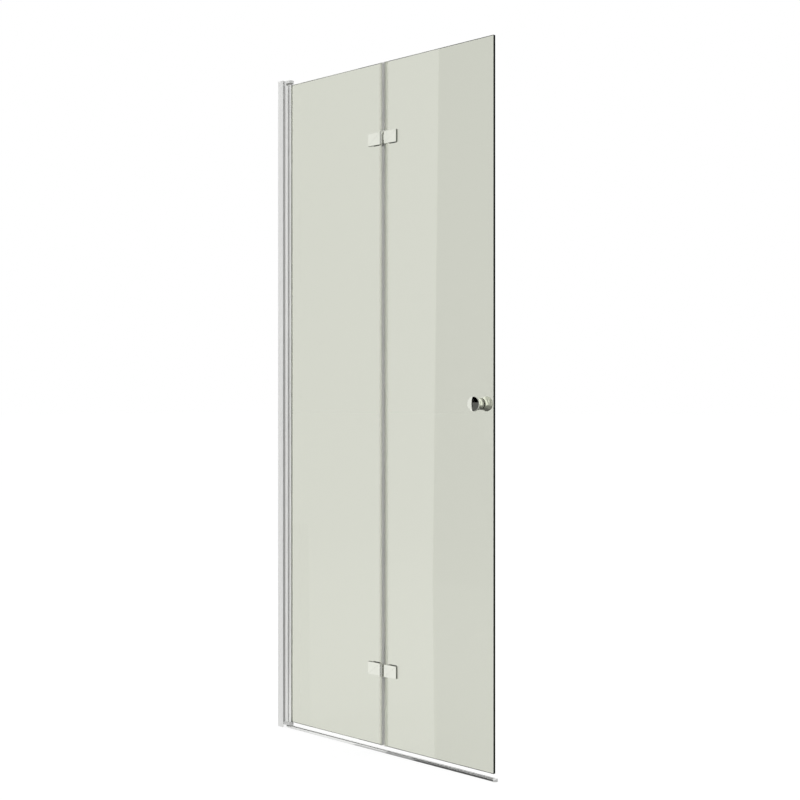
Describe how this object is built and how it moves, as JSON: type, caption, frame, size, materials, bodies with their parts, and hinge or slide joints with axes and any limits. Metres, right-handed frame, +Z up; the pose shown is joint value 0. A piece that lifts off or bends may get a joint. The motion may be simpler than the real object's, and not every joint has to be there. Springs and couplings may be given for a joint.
{
  "type": "folding glass bath screen",
  "caption": "Folding bath screen of tinted safety glass: a wall profile carries a swinging inner panel, and an outer panel with a knob folds on it.",
  "frame": {"origin": "the bottom of the wall profile's back face, at the middle of its width, where the wall meets the top of the bath rim", "axes": "+X out from the wall along the flat screen to its free edge, +Y to the bath side, +Z up"},
  "size_m": [0.8, 0.068, 1.944],
  "materials": {
    "aluminium_profile": "bright anodised extrusion",
    "grey_plastic": "moulded light grey plastic",
    "steel": "plain stainless steel",
    "white_nylon": "white nylon",
    "tinted_glass": "toughened glass with a light grey-green tint",
    "grey_pvc": "soft translucent grey plastic",
    "clear_pvc": "soft clear plastic",
    "dark_rubber": "soft black rubber",
    "chrome": "polished chrome plate",
    "foam_tape": "double-sided foam tape"
  },
  "bodies": {
    "wall_frame": {"wall_profile": "aluminium_profile", "wall_profile_cap": "grey_plastic", "adjusting_profile": "aluminium_profile", "profile_cover_strip": "grey_pvc", "pivot_seat_seal": "grey_pvc", "lock_screws": "steel", "lock_screw_covers": "grey_plastic", "top_bearing_block": "grey_plastic", "bottom_bearing_block": "grey_plastic", "bearing_block_screws": "steel", "bearing_bushes": "white_nylon", "threshold_rail": "aluminium_profile", "threshold_end_cap": "grey_plastic", "threshold_tape": "foam_tape"},
    "inner_panel": {"inner_glass": "tinted_glass", "pivot_rail": "aluminium_profile", "pivot_rail_gasket": "grey_pvc", "top_pivot_plug": "steel", "bottom_pivot_plug": "steel", "pivot_washers": "white_nylon", "inner_fold_seal": "grey_pvc", "upper_hinge_inner_leaf": "chrome", "lower_hinge_inner_leaf": "chrome", "inner_leaf_gaskets": "dark_rubber", "inner_back_plates": "chrome", "inner_back_gaskets": "dark_rubber", "inner_hinge_screws": "steel", "inner_hinge_sleeves": "white_nylon", "upper_hinge_pin": "steel", "lower_hinge_pin": "steel"},
    "outer_panel": {"outer_glass": "tinted_glass", "outer_fold_seal": "grey_pvc", "upper_hinge_outer_leaf": "chrome", "lower_hinge_outer_leaf": "chrome", "outer_leaf_gaskets": "dark_rubber", "outer_back_plates": "chrome", "outer_back_gaskets": "dark_rubber", "outer_hinge_screws": "steel", "outer_hinge_sleeves": "white_nylon", "hinge_bushes": "white_nylon", "knob_front": "chrome", "knob_back": "chrome", "knob_stud": "steel", "knob_washers": "clear_pvc", "knob_sleeve": "white_nylon"}
  },
  "joints": [
    {"name": "wall_pivot", "type": "hinge", "parent": "wall_frame", "child": "inner_panel", "pos_m": [0.041, 0, 0.95], "axis": [0, 0, 1], "range_deg": [0, 90]},
    {"name": "fold_hinge", "type": "hinge", "parent": "inner_panel", "child": "outer_panel", "pos_m": [0.414, -0.012, 0.95], "axis": [0, 0, -1], "range_deg": [0, 177]}
  ]
}
